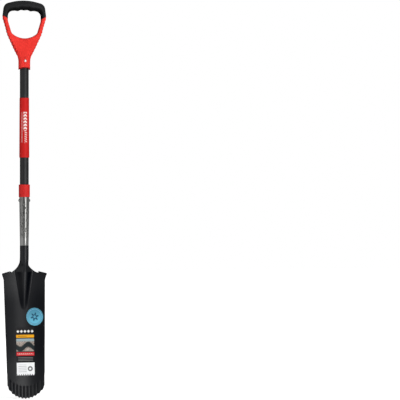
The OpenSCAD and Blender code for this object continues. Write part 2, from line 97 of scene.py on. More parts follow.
# D handle and its rivet
HANDLE_H = 223
OPENING_W = 109
OPENING_LOW_W = 82
OPENING_H = 90
KNEE_W = 15.5
ARM_W = 11.5
ARM_DEPTH = 20
RIB_H = 1.5
RIB_PITCH = 10.1
FERRULE_WALL = 4.6
FERRULE_H = 40
FERRULE_ARCH_H = 5.5
HANDLE_SEAT = 51
HANDLE_RIVET_D = 5
HANDLE_RIVET_HEAD_D = 8
HANDLE_RIVET_HEAD_H = 1.8
HANDLE_RIVET_H = 28

# Grip
CROSSBAR_H = 31.5
GRIP_DEPTH = 33
GRIP_WALL = 3.2
FINGER_DEPTH = 2.4
FINGER_PITCH = 21.5
GRIP_ANGLE = 32

# Heights above the tip (H), and places in the frame (Z)
TIP_Z = CROSSBAR_H - OVERALL_L
FROG_H = BLADE_L - FROG_L
NECK_H = BLADE_L + NECK_RISE
SOCKET_H = NECK_H + NECK_L
MOUTH_H = SOCKET_H + SOCKET_L
COLLAR_LOW_H = MOUTH_H - COLLAR_LAP
COLLAR_TOP_H = COLLAR_LOW_H + COLLAR_H
RIVET_H = COLLAR_LOW_H - RIVET_GAP
BARE_L = OVERALL_L - HANDLE_H - COLLAR_TOP_H
SLEEVE_L = BARE_L * SLEEVE_COVER
SLEEVE_LOW_H = COLLAR_TOP_H + (BARE_L - SLEEVE_L) * SLEEVE_PLACE
FLUTE_TOP_H = TIP_H + FLUTE_L
FERRULE_Z = CROSSBAR_H - HANDLE_H
WEB_Z = FERRULE_Z + FERRULE_H
SHAFT_TOP_Z = FERRULE_Z + HANDLE_SEAT
HANDLE_RIVET_Z = FERRULE_Z + HANDLE_RIVET_H
BORE_R = SHAFT_D / 2 + FIT
FERRULE_D = 2 * (BORE_R + FERRULE_WALL)
ARCH_R = (FERRULE_D ** 2 / 4 + FERRULE_ARCH_H ** 2) / (2 * FERRULE_ARCH_H)
ARCH_Z = FERRULE_Z + FERRULE_ARCH_H - ARCH_R
MOUTH_D = SHAFT_D + 2 * (FIT + SHEET_T)
SOCKET_LOW_D = NECK_D - 2 * (WRAP_T + FIT)


def lerp(a, b, t):
    return a + (b - a) * t


def clamp(t):
    return np.clip(t, 0, 1)


def smooth(t):
    u = clamp(t)
    return u * u * (3 - 2 * u)


# Shader and geometry nodes

class Wire:
    """A socket of a node tree. Sums with it add Math nodes, and node() adds any other node."""

    def __init__(self, tree, socket=None):
        self.tree, self.socket = tree, socket

    def node(self, kind, settings=None, sockets=None, output=0):
        """Adds a node with its settings and with values or wires on its sockets; returns one output."""
        made = self.tree.nodes.new(kind)
        for name, value in (settings or {}).items():
            setattr(made, name, value)
        for name, value in (sockets or {}).items():
            if isinstance(value, Wire):
                self.tree.links.new(value.socket, made.inputs[name])
            else:
                made.inputs[name].default_value = value
        return Wire(self.tree, made.outputs[output] if len(made.outputs) else None)

    def math(self, operation, *values):
        return self.node("ShaderNodeMath", {"operation": operation}, dict(enumerate(values)))

    def __add__(self, other):
        return self.math("ADD", self, other)

    def __sub__(self, other):
        return self.math("SUBTRACT", self, other)

    def __rsub__(self, other):
        return self.math("SUBTRACT", other, self)

    def __mul__(self, other):
        return self.math("MULTIPLY", self, other)

    def __truediv__(self, other):
        return self.math("DIVIDE", self, other)

    def __pow__(self, other):
        return self.math("POWER", self, other)

    def __abs__(self):
        return self.math("ABSOLUTE", self)

    __radd__, __rmul__ = __add__, __mul__

    def sine(self):
        return self.math("SINE", self)

    def repeat(self):
        return self.math("FRACT", self)

    def most(self, other):
        return self.math("MAXIMUM", self, other)

    def rise(self, low, high):
        """0 below low, 1 above high and a soft step between; low may lie above high."""
        return self.node("ShaderNodeMapRange", {"interpolation_type": "SMOOTHSTEP"},
                         {"Value": self, "From Min": low, "From Max": high})

    def band(self, low, high, soft):
        """1 between low and high, with soft edges."""
        return self.rise(low - soft, low + soft) * self.rise(high + soft, high - soft)

    def blend(self, first, second):
        """A colour between two others by this value."""
        return self.node("ShaderNodeMix", {"data_type": "RGBA"},
                         {"Factor": self, 6: first, 7: second}, 2)


def rgb(red, green, blue):
    return (red, green, blue, 1)


class Finish:
    """A material: a matt body under a thin gloss, or bare metal where there is no gloss."""

    def __init__(self, name, gloss=0.0):
        self.material = bpy.data.materials.new(name)
        self.material.use_nodes = True
        self.tree = self.material.node_tree
        self.wire = Wire(self.tree)
        self.body = self.tree.nodes["Principled BSDF"]
        self.shaders = [self.body]
        if gloss:
            self.body.inputs["Specular IOR Level"].default_value = 0
            skin = self.wire.node("ShaderNodeBsdfPrincipled", None,
                                  {"Metallic": 1.0, "Base Color": rgb(1, 1, 1)})
            self.shaders.append(skin.socket.node)
            both = self.wire.node("ShaderNodeMixShader", None,
                                  {0: gloss, 1: Wire(self.tree, self.body.outputs[0]), 2: skin})
            self.gloss = both.socket.node.inputs[0]
            self.tree.links.new(both.socket, self.tree.nodes["Material Output"].inputs["Surface"])
        else:
            self.body.inputs["Metallic"].default_value = 1

    def set(self, socket, value):
        """Sets the colour of the body, or another socket of the body and of its gloss."""
        for shader in self.shaders[:1] if socket == "Base Color" else self.shaders:
            if isinstance(value, Wire):
                self.tree.links.new(value.socket, shader.inputs[socket])
            else:
                shader.inputs[socket].default_value = value

    def vary_gloss(self, amount):
        """Lets the gloss change over the surface."""
        self.tree.links.new(amount.socket, self.gloss)

    def place(self, scale=(1, 1, 1)):
        """The place on the piece, stretched along each axis."""
        point = self.wire.node("ShaderNodeTexCoord", output="Object")
        return self.wire.node("ShaderNodeMapping", None, {"Vector": point, "Scale": scale})

    def axis(self, name):
        point = self.wire.node("ShaderNodeTexCoord", output="Object")
        return self.wire.node("ShaderNodeSeparateXYZ", None, {0: point}, name)

    def noise(self, scale, detail=3.0, stretch=(1, 1, 1)):
        return self.wire.node("ShaderNodeTexNoise", None,
                              {"Vector": self.place(stretch), "Scale": scale, "Detail": detail})

    def attribute(self, name):
        return self.wire.node("ShaderNodeAttribute", {"attribute_name": name}, None, "Fac")

    def print_axes(self):
        """Both axes of a sticker's print map."""
        point = self.wire.node("ShaderNodeUVMap", {"uv_map": "print"})
        return [self.wire.node("ShaderNodeSeparateXYZ", None, {0: point}, name) for name in "XY"]

    def bump(self, height, strength, distance):
        self.set("Normal", self.wire.node(
            "ShaderNodeBump", None, {"Height": height, "Strength": strength, "Distance": distance}))


def blade_coat():
    """Satin black coat on pressed steel: drawn lines, a fine grain, a paler, worn edge, and painted sheen
    and shade in its gloss.
    """
    gloss = 0.0085
    f = Finish("blade_coat", gloss)
    cloud = f.noise(9, 4)
    drawn = f.noise(60, 3, (1, 1, 0.06))
    grain = f.noise(1500, 2)
    worn = f.attribute("edge_wear")
    tone = 0.45 * cloud + 0.35 * drawn + 0.2 * grain
    coat = tone.rise(0.3, 0.7).blend(rgb(0.0010, 0.0014, 0.0027), rgb(0.0022, 0.0027, 0.0042))
    f.set("Base Color", (worn * 0.5 * cloud.rise(0.35, 0.7)).blend(coat, rgb(0.055, 0.056, 0.060)))
    along = f.axis("Z") / MM - TIP_Z
    # Painted sheen: the gloss is raised towards the top of the blade and towards the tip, and lowered in
    # the middle.
    painted_sheen = 0.64 + 0.78 * along.rise(300, 385) + 0.50 * along.rise(170, 90) + 0.30 * along.rise(70, 30)
    # Painted shade in the flutes and beside the frog, and a painted highlight on the frog's crest, from
    # the blade's attribute.
    f.vary_gloss(gloss * painted_sheen * (1 - 0.8 * f.attribute("painted_shade_and_crest_highlight")) * (0.9 + 0.2 * cloud))
    f.set("Roughness", 0.26 + 0.06 * cloud + 0.05 * grain)
    f.bump(grain * 0.6 + drawn * 0.8, 0.10, 0.0003)
    return f.material


def socket_metal():
    """Bare metal sleeve: drawn along its length, dappled above a plain hem."""
    f = Finish("socket_metal")
    height = f.axis("Z")
    drawn = f.noise(300, 3, (1, 1, 0.05))
    dapple = f.wire.node("ShaderNodeTexVoronoi", {"feature": "SMOOTH_F1"},
                         {"Vector": f.place((1, 1, 0.55)), "Scale": 190.0, "Smoothness": 0.4})
    patch = f.noise(38, 3)
    dressed = height.rise((TIP_Z + SOCKET_H + 22) * MM, (TIP_Z + SOCKET_H + 30) * MM)
    dab = dapple.rise(0.46, 0.20) * patch.rise(0.36, 0.52) * dressed
    plain = drawn.rise(0.25, 0.75).blend(rgb(0.072, 0.072, 0.070), rgb(0.102, 0.102, 0.098))
    plain = dressed.blend(rgb(0.108, 0.108, 0.105), plain)
    f.set("Base Color", (dab * 0.9).blend(plain, rgb(0.022, 0.022, 0.021)))
    f.set("Roughness", 0.07 + 0.05 * drawn + 0.17 * dab + 0.05 * dressed)
    f.bump(drawn * 0.05 - dab, 0.9, 0.0007)
    return f.material


def rivet_metal():
    """Bright plated steel with small dents from the setting tool."""
    f = Finish("rivet_metal")
    dents = f.noise(420, 2)
    f.set("Base Color", dents.rise(0.3, 0.7).blend(rgb(0.34, 0.28, 0.28), rgb(0.48, 0.40, 0.40)))
    f.set("Roughness", 0.16 + 0.16 * dents)
    f.bump(dents, 0.15, 0.0004)
    return f.material


def socket_rivet_metal():
    """Dull steel, like the sleeve that it holds."""
    f = Finish("socket_rivet_metal")
    dents = f.noise(380, 3)
    f.set("Base Color", dents.rise(0.3, 0.7).blend(rgb(0.10, 0.10, 0.10), rgb(0.24, 0.24, 0.235)))
    f.set("Roughness", 0.30 + 0.20 * dents)
    f.bump(dents, 0.2, 0.0004)
    return f.material


# Print on the hand sleeve
ARROW_TOP_H = 921
ARROW_LOW_H = 860
ARROW_PITCH = 10.2
STROKE_LOW_H = 822
STROKE_PITCH = 7.0
BAR_PITCH = 4.6


def sleeve_marks(f):
    """A column of arrows over slanted strokes, with short bars beside them, on the front of the sleeve."""
    across = f.axis("X") / MM
    along = f.axis("Z") / MM - TIP_Z
    arrows = ((along + abs(across) * 0.7) / ARROW_PITCH).repeat().band(0.08, 0.68, 0.04)
    arrows *= abs(across).rise(5.8, 5.4) * along.band(ARROW_LOW_H, ARROW_TOP_H, 0.4)
    strokes = ((along + across * 0.5) / STROKE_PITCH).repeat().band(0.10, 0.50, 0.05)
    strokes *= abs(across - 1.6).rise(4.2, 3.8) * along.band(STROKE_LOW_H, ARROW_LOW_H - 3, 0.4)
    bars = (along / BAR_PITCH).repeat().band(0.15, 0.70, 0.06)
    bars *= abs(across + 10.0).rise(1.3, 0.9) * along.band(STROKE_LOW_H, ARROW_TOP_H, 0.4)
    front = f.axis("Y").rise(0.0, -0.004)
    worn = f.noise(500, 3).rise(0.25, 0.42)
    return arrows.most(strokes).most(bars * 0.7) * front * worn


def deep_red(name, dark, light, printed=False):
    """Deep red sleeve plastic, drawn along the shaft; a column of pale marks may be printed on it."""
    f = Finish(name, 0.0045)
    cloud = f.noise(26, 3)
    drawn = f.noise(160, 3, (1, 1, 0.05))
    grain = f.noise(1700, 2)
    tone = 0.5 * cloud + 0.3 * drawn + 0.2 * grain
    red = tone.rise(0.3, 0.7).blend(dark, light)
    if printed:
        red = sleeve_marks(f).blend(red, rgb(0.86, 0.76, 0.73))
    f.set("Base Color", red)
    f.set("Roughness", 0.36 + 0.10 * cloud)
    f.bump(grain * 0.5 + drawn * 0.6, 0.10, 0.0003)
    return f.material


def bright_red():
    """Bright red moulding with a fine eroded grain, with painted shade between the ribs, along the
    opening's inner edge and above the arch.
    """
    f = Finish("bright_red", 0.003)
    cloud = f.noise(18, 3)
    grain = f.noise(1300, 3)
    # Painted shade: dark red in the hollows between the ribs, along the opening's inner edge and in a band
    # above the ferrule's arch.
    arch = f.wire.math("SQRT", f.axis("X") ** 2.0 + (f.axis("Z") - ARCH_Z * MM) ** 2.0) / MM - ARCH_R
    shade = (f.attribute("painted_rib_rim_shade") * 0.7).most(arch.rise(4.4, 2.4) * 0.8)
    red = cloud.rise(0.3, 0.7).blend(rgb(0.78, 0.038, 0.029), rgb(0.86, 0.047, 0.037))
    f.set("Base Color", shade.blend(red, rgb(0.16, 0.005, 0.005)))
    f.set("Roughness", 0.38 + 0.10 * cloud + 0.05 * grain)
    f.bump(grain, 0.12, 0.0003)
    return f.material


def grip_rubber():
    """Charcoal soft grip with a fine matt grain, with painted shade on its underside, the side towards the
    opening.
    """
    gloss = 0.006
    f = Finish("grip_rubber", gloss)
    cloud = f.noise(30, 3)
    grain = f.noise(1100, 3)
    tone = 0.7 * cloud + 0.3 * grain
    # Painted shade on the underside: a darker colour and less gloss.
    painted_underside = f.attribute("painted_underside_shade")
    charcoal = tone.rise(0.3, 0.7).blend(rgb(0.009, 0.009, 0.010), rgb(0.016, 0.016, 0.017))
    f.set("Base Color", painted_underside.blend(charcoal, rgb(0.003, 0.003, 0.0033)))
    f.vary_gloss(gloss * (1 - 0.6 * painted_underside))
    f.set("Roughness", 0.50 + 0.12 * grain)
    f.bump(grain, 0.30, 0.0004)
    return f.material


def shaft_coat():
    """Satin black coat on drawn tube."""
    f = Finish("shaft_coat", 0.0125)
    drawn = f.noise(240, 3, (1, 1, 0.02))
    cloud = f.noise(20, 3)
    grain = f.noise(1600, 2)
    tone = 0.5 * drawn + 0.5 * cloud
    f.set("Base Color", tone.rise(0.3, 0.7).blend(rgb(0.007, 0.0075, 0.008), rgb(0.012, 0.0125, 0.013)))
    f.set("Roughness", 0.34 + 0.10 * drawn + 0.06 * grain)
    f.bump(drawn + grain * 0.4, 0.08, 0.0003)
    return f.material


def seal_print():
    """Round blue seal: a pale rim, a deep ring with a dotted line and a dark rosette."""
    f = Finish("seal_print", 0.006)
    u, v = f.print_axes()
    reach = f.wire.math("SQRT", u * u + v * v)
    turn = f.wire.math("ARCTAN2", v, u)
    fade = (0.2 * u - v).rise(-0.8, 0.8)
    field = fade.blend(rgb(0.078, 0.265, 0.370), rgb(0.135, 0.470, 0.640))
    ring = reach.band(0.76, 0.92, 0.015)
    colour = (ring * 0.75).blend(field, rgb(0.030, 0.180, 0.330))
    dots = (turn * (36 / math.tau)).repeat().band(0.25, 0.75, 0.08) * reach.band(0.81, 0.87, 0.015)
    colour = (dots * 0.8).blend(colour, rgb(0.42, 0.74, 0.84))
    colour = reach.rise(0.955, 0.975).blend(colour, rgb(0.120, 0.400, 0.520))
    petals = 0.36 + 0.14 * (turn * 6).sine()
    rosette = (reach - petals).rise(0.02, -0.02) * reach.rise(0.13, 0.17)
    colour = (rosette * 0.9).blend(colour, rgb(0.008, 0.040, 0.090))
    f.set("Base Color", colour)
    f.set("Roughness", 0.30 + 0.15 * f.noise(90, 2))
    f.bump(f.noise(260, 2), 0.05, 0.0003)
    return f.material


def label_print():
    """Long paper label in plain blocks of colour, with lozenges, a strip of ground and thin rules."""
    f = Finish("label_print", 0.005)
    u, v = f.print_axes()
    soft = 0.004
    colour = f.noise(200, 2).rise(0.3, 0.7).blend(rgb(0.006, 0.006, 0.007), rgb(0.010, 0.010, 0.011))

    def lay(mask, ink):
        """Prints an ink over what is there."""
        nonlocal colour
        colour = mask.blend(colour, ink)

    lozenge = abs((u * 5).repeat() - 0.5) + abs((v - 0.085) / 0.075)
    lay(lozenge.rise(0.44, 0.40) * u.band(0.02, 0.98, 0.01) * v.band(0.04, 0.13, soft),
        rgb(0.78, 0.78, 0.76))
    lay(v.band(0.155, 0.215, soft), rgb(0.80, 0.36, 0.010))
    lay(v.band(0.180, 0.190, soft) * u.band(0.08, 0.60, 0.01), rgb(0.16, 0.06, 0.004))
    picture = v.band(0.235, 0.500, soft)
    stones = f.noise(420, 4)
    earth = stones.rise(0.35, 0.65).blend(rgb(0.13, 0.09, 0.07), rgb(0.52, 0.46, 0.41))
    lay(picture, earth)
    hill = v - 0.345 - 0.05 * (u * 7.0).sine()
    lay(picture * hill.rise(-0.02, 0.02) * hill.rise(0.13, 0.10), rgb(0.012, 0.018, 0.020))
    lay(picture * v.rise(0.300, 0.285), rgb(0.30, 0.38, 0.40))
    lay(v.band(0.515, 0.590, soft), rgb(0.58, 0.022, 0.030))
    stripe = ((u + v * 2.4) * 9).repeat().band(0.2, 0.6, 0.06)
    lay(v.band(0.540, 0.565, soft) * stripe * u.band(0.06, 0.94, 0.01), rgb(0.80, 0.60, 0.56))
    lines = ((v - 0.615) * 34).repeat().band(0.35, 0.65, 0.08)
    lay(lines * v.band(0.622, 0.705, soft) * u.band(0.08, 0.92, 0.01), rgb(0.20, 0.20, 0.20))
    foot = v.rise(0.730, 0.734)
    lay(foot, rgb(0.88, 0.89, 0.90))
    rules = ((v - 0.75) * 26).repeat().band(0.35, 0.62, 0.08)
    rules *= u.band(0.09, 0.56, 0.01) * v.band(0.77, 0.93, soft)
    lay(foot * rules * 0.8, rgb(0.20, 0.21, 0.22))
    round_mark = f.wire.math("SQRT", ((u - 0.76) ** 2.0) + ((v - 0.86) * 2.6) ** 2.0)
    lay(foot * round_mark.band(0.065, 0.135, 0.01) * 0.9, rgb(0.05, 0.05, 0.05))
    f.set("Base Color", colour)
    f.set("Roughness", 0.42 + 0.12 * stones)
    f.bump(f.noise(700, 2), 0.06, 0.0002)
    return f.material


# Meshes

WELD_REACH = 0.001


def grid_quads(ids):
    """Quads over a grid of vertex numbers, with the columns to the right and the rows upwards."""
    ids = np.asarray(ids)
    return np.stack([ids[:-1, :-1], ids[:-1, 1:], ids[1:, 1:], ids[1:, :-1]], -1).reshape(-1, 4).tolist()


def new_piece(name, points, faces, material, attributes=None):
    """A mesh object from points in millimetres, with a number or a vector per point for each attribute."""
    mesh = bpy.data.meshes.new(name)
    mesh.from_pydata((np.asarray(points, float) * MM).tolist(), [], faces)
    for key, values in (attributes or {}).items():
        values = np.asarray(values, float)
        kind, field = ("FLOAT", "value") if values.ndim == 1 else ("FLOAT_VECTOR", "vector")
        mesh.attributes.new(key, kind, "POINT").data.foreach_set(field, values.ravel())
    mesh.materials.append(material)
    piece = bpy.data.objects.new(name, mesh)
    bpy.context.scene.collection.objects.link(piece)
    return piece


def weld(piece):
    """Joins points that lie on each other, as at a seam or a pole, and clears slivers after a cut."""
    mesh = bmesh.new()
    mesh.from_mesh(piece.data)
    bmesh.ops.remove_doubles(mesh, verts=mesh.verts, dist=WELD_REACH * MM)
    bmesh.ops.triangulate(mesh, faces=[face for face in mesh.faces if len(face.verts) > 4])
    bmesh.ops.dissolve_degenerate(mesh, edges=mesh.edges, dist=WELD_REACH * MM)
    mesh.to_mesh(piece.data)
    mesh.free()


def settle(piece, sharp=40):
    """Turns a piece's modifiers into its own mesh, with smooth faces and sharp folds."""
    graph = bpy.context.evaluated_depsgraph_get()
    made = bpy.data.meshes.new_from_object(piece.evaluated_get(graph))
    old = piece.data
    piece.modifiers.clear()
    piece.data = made
    made.name = piece.name
    bpy.data.meshes.remove(old)
    made.polygons.foreach_set("use_smooth", [True] * len(made.polygons))
    made.set_sharp_from_angle(angle=math.radians(sharp))
    return piece


def modify(piece, kind, **values):
    """Adds a modifier with its settings."""
    made = piece.modifiers.new(kind.lower(), kind)
    for key, value in values.items():
        setattr(made, key, value)


def seat(piece, node=None):
    """Fixes a piece to the spade and in place of a CAD node where it has one."""
    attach(piece, "root")
    if node:
        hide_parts(node)


def area(profile):
    """Area inside a closed profile, below 0 where it runs clockwise."""
    r, z = profile.T
    return float(np.sum(r * np.roll(z, -1) - np.roll(r, -1) * z)) / 2


def turned(profile, segments=96):
    """Points and faces of a closed profile of [radius, height] turned round the shaft.

    A point with a radius of 0 becomes a pole.
    """
    profile = np.asarray(profile, float)
    turns = np.arange(segments) * math.tau / segments
    points, rings = [], []
    for radius, height in profile:
        around = turns if radius > 0 else turns[:1]
        rings.append(len(points) + np.resize(np.arange(len(around)), segments + 1))
        points += [(radius * math.cos(t), radius * math.sin(t), height) for t in around]
    faces = [list(dict.fromkeys(quad)) for quad in grid_quads(rings + rings[:1])]
    faces = [face[::-1] if area(profile) < 0 else face for face in faces if len(face) > 2]
    return np.array(points), faces


def corner_arc(before, at, after, radius, steps):
    """Points of the arc that rounds the corner between two neighbours."""
    at = np.array(at, float)
    u, v = np.array(before, float) - at, np.array(after, float) - at
    u, v = u / np.linalg.norm(u), v / np.linalg.norm(v)
    half = math.acos(np.clip(u @ v, -1, 1)) / 2
    sweep = math.pi - 2 * half
    centre = at + (u + v) / np.linalg.norm(u + v) * radius / math.sin(half)
    start = at + u * radius / math.tan(half) - centre
    end = at + v * radius / math.tan(half) - centre
    t = np.linspace(0, sweep, steps + 1)[:, None]
    return centre + (start * np.sin(sweep - t) + end * np.sin(t)) / math.sin(sweep)


def rounded(corners, steps=5):
    """A closed profile whose corners [radius, height, rounding] are rounded."""
    out = []
    for i, (x, y, r) in enumerate(corners):
        after = corners[(i + 1) % len(corners)]
        out.append(corner_arc(corners[i - 1][:2], (x, y), after[:2], r, steps) if r else [(x, y)])
    return np.concatenate(out)


# Geometry Nodes

def tree_with(name, **sizes):
    """A tree with a mesh, named sizes and a material in, and a mesh out; returns it and its inputs."""
    tree = bpy.data.node_groups.new(name, "GeometryNodeTree")
    for label, kind in {"Geometry": "Geometry", **sizes, "Material": "Material"}.items():
        tree.interface.new_socket(label, in_out="INPUT", socket_type="NodeSocket" + kind)
    tree.interface.new_socket("Geometry", in_out="OUTPUT", socket_type="NodeSocketGeometry")
    source = Wire(tree).node("NodeGroupInput").socket.node
    return tree, {s.name: Wire(tree, s) for s in source.outputs if s.name}


def close_tree(given, geometry):
    """Ends a tree with real geometry in the given material."""
    whole = geometry.node("GeometryNodeRealizeInstances", None, {"Geometry": geometry})
    made = geometry.node("GeometryNodeSetMaterial", None,
                         {"Geometry": whole, "Material": given["Material"]})
    geometry.node("NodeGroupOutput", None, {0: made})


def run_tree(piece, tree, **sizes):
    """Adds a tree to a piece and sets its inputs, each by its socket's identifier."""
    change = piece.modifiers.new(tree.name, "NODES")
    change.node_group = tree
    inputs = {s.name: s.identifier for s in tree.interface.items_tree if s.in_out == "INPUT"}
    for label, value in sizes.items():
        change[inputs[label]] = value


def ridge_tree():
    """Pushes a surface out in even ridges: along the stored way, by a power of the stored turn's sine."""
    tree, given = tree_with("ridges", Height="Float", Fullness="Float")
    w = Wire(tree)
    turn = w.node("GeometryNodeInputNamedAttribute", {"data_type": "FLOAT"}, {"Name": "ridge_turn"})
    way = w.node("GeometryNodeInputNamedAttribute", {"data_type": "FLOAT_VECTOR"}, {"Name": "ridge_way"})
    wave = abs(turn.sine()) ** given["Fullness"]
    push = w.node("ShaderNodeVectorMath", {"operation": "SCALE"},
                  {0: way, "Scale": wave * given["Height"]})
    close_tree(given, w.node("GeometryNodeSetPosition", None,
                             {"Geometry": given["Geometry"], "Offset": push}))
    return tree


def rivet_tree():
    """Sets a head on both ends of a shank, then turns and places the rivet."""
    tree, given = tree_with("rivet", Grip="Float", Shank="Float", Turn="Vector", Place="Vector")
    w = Wire(tree)
    step = w.node("ShaderNodeCombineXYZ", None, {"Z": given["Grip"]})
    start = w.node("ShaderNodeCombineXYZ", None, {"Z": given["Grip"] * -0.5})
    ends = w.node("GeometryNodeMeshLine", None, {"Count": 2, "Start Location": start, "Offset": step})
    index = w.node("GeometryNodeInputIndex")
    facing = w.node("ShaderNodeCombineXYZ", None, {"X": (1 - index) * math.pi})
    heads = w.node("GeometryNodeInstanceOnPoints", None,
                   {"Points": ends, "Instance": given["Geometry"], "Rotation": facing})
    shank = w.node("GeometryNodeMeshCylinder", None,
                   {"Vertices": 48, "Radius": given["Shank"], "Depth": given["Grip"]})
    both = w.node("GeometryNodeJoinGeometry")
    for part in (heads, shank):
        tree.links.new(part.socket, both.socket.node.inputs[0])
    close_tree(given, w.node("GeometryNodeTransform", None, {
        "Geometry": both, "Translation": given["Place"], "Rotation": given["Turn"]}))
    return tree


# Blade: the front of the sheet for a share s of the half width at a height h above the tip

TIP_R = (TIP_W ** 2 / 4 + TIP_H ** 2) / (2 * TIP_H)
NECK_START_W = TREAD_GAP / 2 - RELIEF
NECK_CURVE = 2
FROG_SHARE = 0.4
FROG_BLEND = 10
ROLL_START = BLADE_L + NECK_RISE * 0.1
ROLL_SPAN = NECK_RISE * 0.8
ROLL_END = NECK_H + NECK_L * 0.55
OPEN_TURN = math.radians(60)
CLOSED_TURN = math.pi - SEAM_W / NECK_D
TREAD_MID_X = (EAR_W + TREAD_GAP) / 4
TREAD_CORNER_R = 4.0
EAR_CURVE = 1.5
COLUMNS_PER_TOOTH = 12
FLUTE_FULLNESS = 6.0
FLUTE_FADE = 6
FLUTE_RUNOUT = 12
FLUTE_INSET = 0.2
EDGE_TRIM = 0.3
EDGE_WEAR_H = 5
SHEET_BEVEL = 0.5
SOCKET_STEP = 0.3
SAME_SHARE = 1e-5


def side_w(h):
    """Half the width of the sheet, which flares into the ears."""
    ear_start = BLADE_L - EAR_H
    line = lerp(TIP_W, SHOULDER_W, (h - TIP_H) / (ear_start - TIP_H)) / 2
    return lerp(line, EAR_W / 2, clamp((h - ear_start) / EAR_H) ** EAR_CURVE)


def neck_w(h):
    """Half the width of the neck, which narrows in a curve to the socket."""
    t = clamp((h - BLADE_L) / (NECK_H - BLADE_L))
    return NECK_D / 2 + (NECK_START_W - NECK_D / 2) * (1 - t) ** NECK_CURVE


def arc_h(s):
    """Height of the round tip's edge."""
    return TIP_R - np.sqrt(TIP_R ** 2 - (s * TIP_W / 2) ** 2)


def tooth_turn(s):
    return math.pi / 2 * TOOTH_COUNT * s


def bottom_y(h):
    return DISH_DEPTH - LIFT * (1 - h / BLADE_L)


def crest_y(h):
    return lerp(bottom_y(FROG_H), -NECK_D / 2, clamp((h - FROG_H) / (NECK_H - FROG_H)))


def frog_half(h):
    return lerp(FROG_TIP_W, FROG_W, (h - FROG_H) / FROG_L) / 2


def frog_edge(h):
    """Half the width of the raised part: the frog, softly limited by the neck."""
    t = clamp(0.5 + (neck_w(h) - frog_half(h)) / (2 * FROG_BLEND))
    return np.maximum(lerp(neck_w(h), frog_half(h), t) - FROG_BLEND * t * (1 - t), 1)


def dish_y(x, h):
    """Depth of the sheet's front: a dish with the frog raised in its middle."""
    rise = np.where(h > FROG_H, bottom_y(h) - crest_y(h), 0)
    u = clamp(np.abs(x) / frog_edge(h))
    return bottom_y(h) - DISH_DEPTH * (2 * x / SHOULDER_W) ** 2 - rise * (1 + np.cos(math.pi * u)) / 2


def gathered(s, edge):
    """Columns drawn together, so that some of them follow the frog's border."""
    a = np.abs(s)
    return np.sign(s) * np.where(a < FROG_SHARE, a / FROG_SHARE * edge,
                                 lerp(edge, 1, (a - FROG_SHARE) / (1 - FROG_SHARE)))


def column_x(s, h):
    share = lerp(s, gathered(s, frog_half(h) / side_w(h)),
                 smooth((h - FLUTE_TOP_H) / (FROG_H - FLUTE_TOP_H)))
    return share * side_w(h)


def share_at(x):
    """The column that reaches x at the top of the sheet."""
    edge = frog_half(BLADE_L) / side_w(BLADE_L)
    return FROG_SHARE + (1 - FROG_SHARE) * (x / side_w(BLADE_L) - edge) / (1 - edge)


def fold_h(x):
    """Height at which the sheet starts to fold into a tread."""
    return BLADE_L - SHEET_T - FOLD_R - (np.abs(x) - TREAD_MID_X) * math.tan(TREAD_SLOPE)


def sheet_top_h(x):
    start = TREAD_GAP / 2
    t = clamp((np.abs(x) - NECK_START_W) / (start - NECK_START_W))
    return np.where(np.abs(x) >= start, fold_h(x), lerp(BLADE_L, fold_h(start), smooth(t)))


def rolled(flat_share, roll_share, h):
    """Place of the neck's columns as the flat sheet rolls up into the socket."""
    full = lerp(OPEN_TURN, CLOSED_TURN, smooth((h - ROLL_START) / (ROLL_END - ROLL_START)))
    turn = np.abs(roll_share) * full
    share = smooth((h - ROLL_START) / ROLL_SPAN)
    arch_x = neck_w(h) * np.sign(roll_share) * np.sin(turn) / np.sin(np.minimum(full, math.pi / 2))
    x = lerp(neck_w(h) * flat_share, arch_x, share)
    edge_y = lerp(dish_y(neck_w(h), h), NECK_D / 2, share)
    arch_y = lerp(crest_y(h), edge_y, (1 - np.cos(turn)) / (1 - np.cos(full)))
    return x, lerp(dish_y(x, h), arch_y, share)


def socket_d(h):
    return lerp(SOCKET_LOW_D, MOUTH_D, (h - SOCKET_H) / SOCKET_L)


def sheet_rows(s, top_x):
    """Heights of the sheet's rows for its columns s: the flutes, the plain face, the frog and the ears."""
    edge_h = arc_h(s) + SCALLOP * np.abs(np.sin(tooth_turn(s))) + EDGE_TRIM
    flute_h = arc_h(s) + FLUTE_L
    plain_h, ear_h = FLUTE_TOP_H + FLUTE_RUNOUT, BLADE_L - EAR_H
    rows = [edge_h]
    for low, high, count in ((edge_h, flute_h, 29), (flute_h, plain_h, 8), (plain_h, FROG_H, 23),
                             (FROG_H, ear_h, 35), (ear_h, sheet_top_h(top_x), 13)):
        rows += [lerp(low, high, v) + 0 * s for v in np.linspace(0, 1, count + 1)[1:]]
    return np.array(rows)


def neck_rows(flat_share, roll_share):
    """Points of the neck and the socket, row by row from the top of the sheet to the mouth."""
    rows = []
    for h in np.concatenate([np.linspace(BLADE_L, NECK_H, 40)[1:], np.linspace(NECK_H, SOCKET_H, 26)[1:]]):
        x, y = rolled(flat_share, roll_share, np.full_like(flat_share, h))
        rows.append(np.stack([x, y, np.full_like(x, TIP_Z + h)], -1))
    around = CLOSED_TURN * roll_share
    for h in (SOCKET_H + SOCKET_STEP, (SOCKET_H + MOUTH_H) / 2, MOUTH_H):
        r = socket_d(h) / 2
        z = np.full_like(around, TIP_Z + h)
        rows.append(np.stack([r * np.sin(around), -r * np.cos(around), z], -1))
    return np.array(rows)


